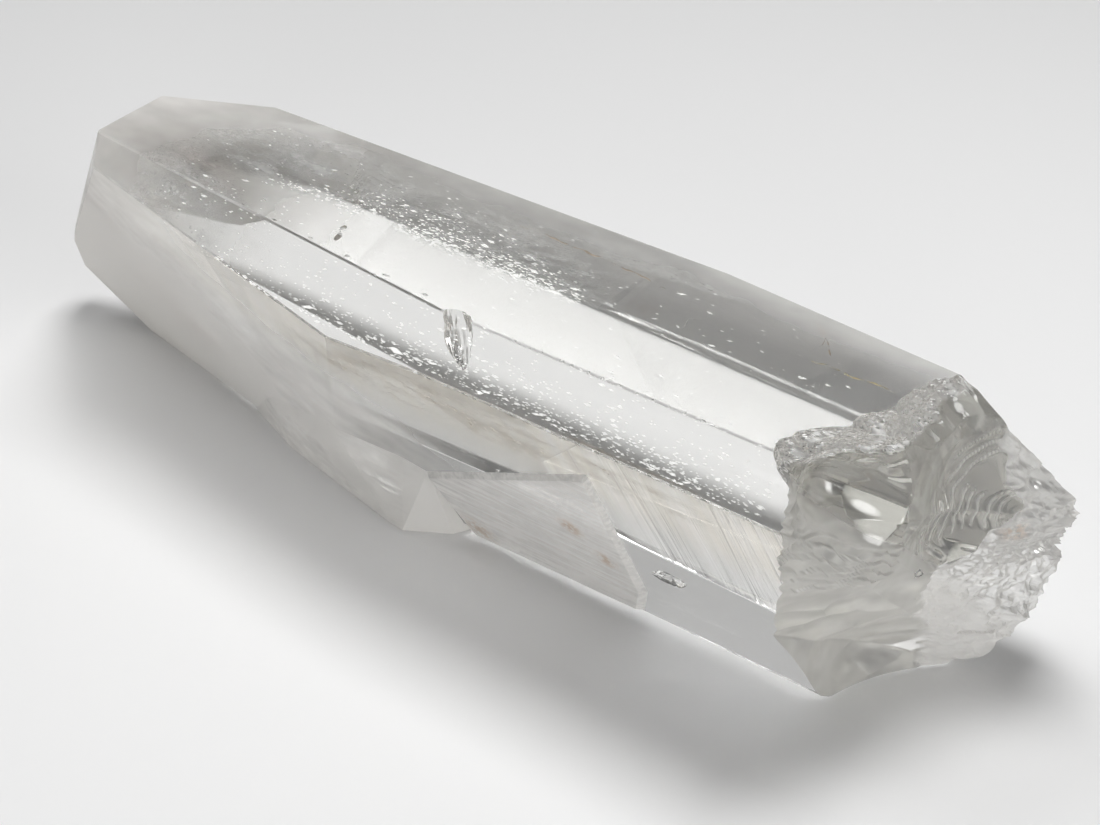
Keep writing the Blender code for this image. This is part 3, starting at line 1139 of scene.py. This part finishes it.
def glowing_fleck_material():
    """Bright specks with a painted glow: they glow a little, though no lamp lights them through the
    glass.
    """
    material, nodes = new_material("fleck")
    colour = nodes.mixed(nodes.noise(300.0, 1.0), rgba((0.8, 0.8, 0.78)), rgba((0.97, 0.97, 0.96)))
    # The emission is painted light: it makes the flecks glow as if lit, though they are no lamp.
    nodes.link(nodes.shader({
        "Base Color": colour, "Roughness": 0.4,
        "Emission Color": colour, "Emission Strength": 0.6,
    }), "Surface")
    return material


def floor_material(colour):
    """Matt paper."""
    material, nodes = new_material("paper")
    normal = nodes.bump(nodes.noise(700.0, 4.0, 0.6), PAPER_RELIEF)
    nodes.link(
        nodes.shader({"Base Color": rgba(colour), "Roughness": 0.85, "Normal": normal}), "Surface"
    )
    return material


# ---- What a user can change ----


AN_ANGLE = {"subtype": "ANGLE", "unit": "ROTATION"}


def number(name, description, default, **more):
    """A number that a user can change."""
    return FloatProperty(name=name, description=description, default=default, **more)


def tint(name, description, default):
    """A colour that a user can change."""
    return FloatVectorProperty(
        name=name, description=description, default=default, subtype="COLOR"
    )


class QuartzSizes(bpy.types.PropertyGroup):
    """Sizes of the crystal's fine shape, in millimetres."""

    edge_wear: number("Edge wear", "How far the sharp edges are worn back", 0.07, min=0.0)
    ripple_length: number("Ripple spacing", "Distance between rings on the break", 1.0)
    ripple_height: number("Ripple height", "Height of the rings on the break", 0.17)
    terrace_height: number("Terrace height", "Height of the steps under the scoop", 0.45)
    facet_height: number("Facet height", "Height of the tilted bowls in the lower front", 0.8)
    rim_chip_height: number("Rim chip height", "Height of the chips along the top rim", 0.8)
    grain_height: number("Grain height", "Height of the sugary part of the break", 0.45)
    plate_proud: number("Plate height", "How far the plate crystal stands out", 0.5)
    plate_bevel: number("Plate bevel", "Width of the plate crystal's sloping edge", 0.65)
    rim_spacing: number("Rim spacing", "Distance between points round the break", 0.24)
    break_rings: IntProperty(
        name="Break rings", description="Rings of points from the middle of the break", default=160
    )
    fleck_count: IntProperty(
        name="Flecks", description="Flecks in each of the two main bands", default=1100
    )
    fleck_size: number("Fleck size", "Usual radius of a fleck", 0.07)
    nick_spacing: number("Nick spacing", "How widely the small nicks are spaced, 1 is usual", 1.0)


class QuartzLooks(bpy.types.PropertyGroup):
    """Colours and finish of the crystal."""

    quartz_colour: tint("Quartz", "Tint of light passing a clear face", (0.985, 0.985, 0.98))
    band_colour: tint("Beige band", "Tint along the top of the lower front", (0.93, 0.86, 0.74))
    stain_colour: tint("Iron stain", "Brown of the iron stains", (0.42, 0.24, 0.11))
    frost_colour: tint("Frost", "White of the frosted surfaces", (0.93, 0.915, 0.89))
    tip_haze: number("Tip haze", "How milky the faces are near the point", 0.8)
    front_haze: number("Front haze", "How milky the lower front is, far from the break", 0.85)
    rear_haze: number("Rear haze", "How milky the top face is along its rear edge", 0.5)
    frost_roughness: number("Frost roughness", "Roughness where the surface is fully frosted", 0.45)
    frost_whiteness: number("Frost whiteness", "How much the frost scatters", 0.9)
    relief: number("Fine relief", "Height of stripes and grain, in millimetres", 0.05)
    lip_top: number(
        "Lip top", "Height over the floor where the shoulder starts to flare, in mm", 30.2
    )
    lip_width: number("Lip width", "How far down the shoulder flares, in mm of height", 3.3)
    lip_rise: number("Lip rise", "How far the flare stands out at its edge, in mm", 0.5)
    ior: number("IOR", "Refractive index of quartz", 1.544)
    absorption_colour: tint("Absorption", "Colour left after a long way in", (0.96, 0.955, 0.9))
    absorption_density: number("Absorption density", "Absorption per metre", 4.0)


class QuartzStage(bpy.types.PropertyGroup):
    """Floor, light and camera."""

    floor_colour: tint("Floor", "Pale paper floor", (0.82, 0.82, 0.82))
    low_sky: number("Low sky", "Brightness near the horizon", 0.06)
    high_sky: number("High sky", "Brightness overhead", 0.1)
    overhead: number("Overhead", "Power of the panel above, in watts", 0.7)
    azimuth: number("Azimuth", "Camera's turn from the front", np.radians(40.5), **AN_ANGLE)
    elevation: number(
        "Elevation", "Camera's height over the floor", np.radians(31.0), **AN_ANGLE
    )
    distance: number("Distance", "Camera to crystal", 0.225, subtype="DISTANCE", unit="LENGTH")
    lens: number("Lens", "Focal length on a 36 mm wide sensor, in mm", 85.1)


# ---- Operators ----


def hand_over(name, mesh, material, replaces=False):
    """Make a finished piece, and tell the frame what it rides on.

    Only the crystal throws a shadow, since what is sealed in it lets most light through.
    """
    mesh.materials.append(material)
    obj = new_object(name, mesh)
    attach(obj, "root")
    obj.visible_shadow = replaces
    if replaces:
        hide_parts(NODE)


class QUARTZ_OT_crystal(bpy.types.Operator):
    """Make the crystal with its plate, chips and fine break"""

    bl_idname = "quartz.crystal"
    bl_label = "Crystal"

    def execute(self, context):
        sizes = context.scene.quartz_sizes
        bm, ring = prism_mesh(sizes)
        body = new_object("body", placed(bm))
        steps = [
            (placed(plate_solid(sizes)), "UNION"),
            (placed(hull(LUMP, MILKY)), "UNION"),
            (placed(chip_solid(sizes)), "DIFFERENCE"),
        ]
        mesh = with_fine_break(joined(body, steps), ring, sizes)
        mark_surfaces(mesh, sizes)
        hand_over("crystal", mesh, quartz_material(context.scene.quartz_looks), replaces=True)
        return {"FINISHED"}


class QUARTZ_OT_veils(bpy.types.Operator):
    """Make the cloudy veils sealed in the crystal"""

    bl_idname = "quartz.veils"
    bl_label = "Veils"

    def execute(self, context):
        for seed, (name, veil) in enumerate(VEILS.items()):
            middle, along, across, wave, colour, strength, fineness = veil
            mesh = lens(name, middle, np.array(along), np.array(across), wave, 101 + 7 * seed)
            mesh.shade_smooth()
            hand_over(name, mesh, veil_material(name, colour, strength, fineness))
        return {"FINISHED"}


class QUARTZ_OT_cracks(bpy.types.Operator):
    """Make the stained cracks just under the top face"""

    bl_idname = "quartz.cracks"
    bl_label = "Cracks"

    def execute(self, context):
        for name, (path, width, colour) in TOP_CRACKS.items():
            mesh = ribbon(name, path, width, HEIGHT - CRACK_DEPTH)
            mesh.shade_smooth()
            hand_over(name, mesh, stain_material(name, colour))
        return {"FINISHED"}


class QUARTZ_OT_flecks(bpy.types.Operator):
    """Scatter the small bright flecks, joined as one piece"""

    bl_idname = "quartz.flecks"
    bl_label = "Flecks"

    def execute(self, context):
        hand_over("flecks", flecks_mesh(context.scene.quartz_sizes), glowing_fleck_material())
        return {"FINISHED"}


class QUARTZ_OT_stage(bpy.types.Operator):
    """Set the floor, the soft light and the camera"""

    bl_idname = "quartz.stage"
    bl_label = "Stage"

    def execute(self, context):
        stage = context.scene.quartz_stage
        mesh = bpy.data.meshes.new("floor")
        corners = [(-1, -1), (1, -1), (1, 1), (-1, 1)]
        verts = [(x * FLOOR_HALF, y * FLOOR_HALF, -FLOOR_DROP) for x, y in corners]
        mesh.from_pydata(verts, [], [(0, 1, 2, 3)])
        mesh.materials.append(floor_material(stage.floor_colour))
        floor = new_object("floor", mesh)
        floor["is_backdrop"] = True
        self.light(context, stage)
        self.camera(context, stage)
        context.scene.view_settings.view_transform = "Standard"
        return {"FINISHED"}

    def light(self, context, stage):
        """A dim sky with soft bright windows round it, and a big lamp overhead."""
        world = bpy.data.worlds.new("studio")
        world.use_nodes = True
        context.scene.world = world
        nodes = Nodes(world.node_tree, "ShaderNodeOutputWorld")
        where = nodes.add("ShaderNodeTexCoord", out="Generated")
        above = nodes.add("ShaderNodeSeparateXYZ", {}, {0: where}, out="Z").clamped(0.1, 0.9)
        low = nodes.glow(stage.low_sky)
        sky = nodes.blend(above, low, nodes.glow(stage.high_sky))
        for azimuth, elevation, radius, strength in WINDOWS.values():
            a, e = np.radians([azimuth, elevation])
            middle = (np.cos(a) * np.cos(e), np.sin(a) * np.cos(e), np.sin(e))
            inputs = {0: where, 1: middle}
            toward = nodes.add(
                "ShaderNodeVectorMath", {"operation": "DOT_PRODUCT"}, inputs, out="Value"
            )
            edges = np.cos(np.radians([radius + WINDOW_EDGE, radius - WINDOW_EDGE]))
            sky = nodes.blend(toward.clamped(*edges), sky, nodes.glow(strength))
        nodes.link(sky, "Surface")
        lamp = bpy.data.lights.new("overhead", "AREA")
        lamp.shape = "RECTANGLE"
        lamp.size = lamp.size_y = OVERHEAD_SIZE
        lamp.energy = stage.overhead
        panel = bpy.data.objects.new("overhead", lamp)
        panel.location = OVERHEAD_PLACE
        panel.rotation_euler = mathutils.Vector(OVERHEAD_PLACE).to_track_quat("Z", "Y").to_euler()
        context.scene.collection.objects.link(panel)

    def camera(self, context, stage):
        """A camera that looks at the middle of the crystal, level at its sides."""
        back = np.array([
            np.sin(stage.azimuth) * np.cos(stage.elevation),
            -np.cos(stage.azimuth) * np.cos(stage.elevation),
            np.sin(stage.elevation),
        ])
        aim = (np.array([0, 0, HEIGHT / 2]) - MIDDLE) * MM
        data = bpy.data.cameras.new("camera")
        data.lens = stage.lens
        data.sensor_width = SENSOR_WIDTH
        data.clip_start = CLIP_START
        camera = bpy.data.objects.new("camera", data)
        camera.location = aim + back * stage.distance
        camera.rotation_euler = (np.pi / 2 - stage.elevation, 0.0, stage.azimuth)
        context.scene.collection.objects.link(camera)
        context.scene.camera = camera


class QUARTZ_PT_panel(bpy.types.Panel):
    """The quartz crystal's steps"""

    bl_label = "Quartz"
    bl_idname = "QUARTZ_PT_panel"
    bl_space_type = "VIEW_3D"
    bl_region_type = "UI"
    bl_category = "Quartz"

    def draw(self, context):
        for step in STEPS:
            self.layout.operator(step.bl_idname)


STEPS = [QUARTZ_OT_crystal, QUARTZ_OT_veils, QUARTZ_OT_cracks, QUARTZ_OT_flecks, QUARTZ_OT_stage]
GROUPS = {"quartz_sizes": QuartzSizes, "quartz_looks": QuartzLooks, "quartz_stage": QuartzStage}


def register():
    for cls in [*GROUPS.values(), *STEPS, QUARTZ_PT_panel]:
        bpy.utils.register_class(cls)
    for name, group in GROUPS.items():
        setattr(bpy.types.Scene, name, PointerProperty(type=group))


def unregister():
    for name in GROUPS:
        delattr(bpy.types.Scene, name)
    for cls in reversed([*GROUPS.values(), *STEPS, QUARTZ_PT_panel]):
        bpy.utils.unregister_class(cls)


def main():
    register()
    bpy.ops.quartz.crystal()
    bpy.ops.quartz.veils()
    bpy.ops.quartz.cracks()
    bpy.ops.quartz.flecks()
    bpy.ops.quartz.stage()
    boxes = {"cad": CAD_BOX, "visual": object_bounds()}
    plain = {name: [[float(v) for v in corner] for corner in box] for name, box in boxes.items()}


if __name__ == "__main__":
    main()
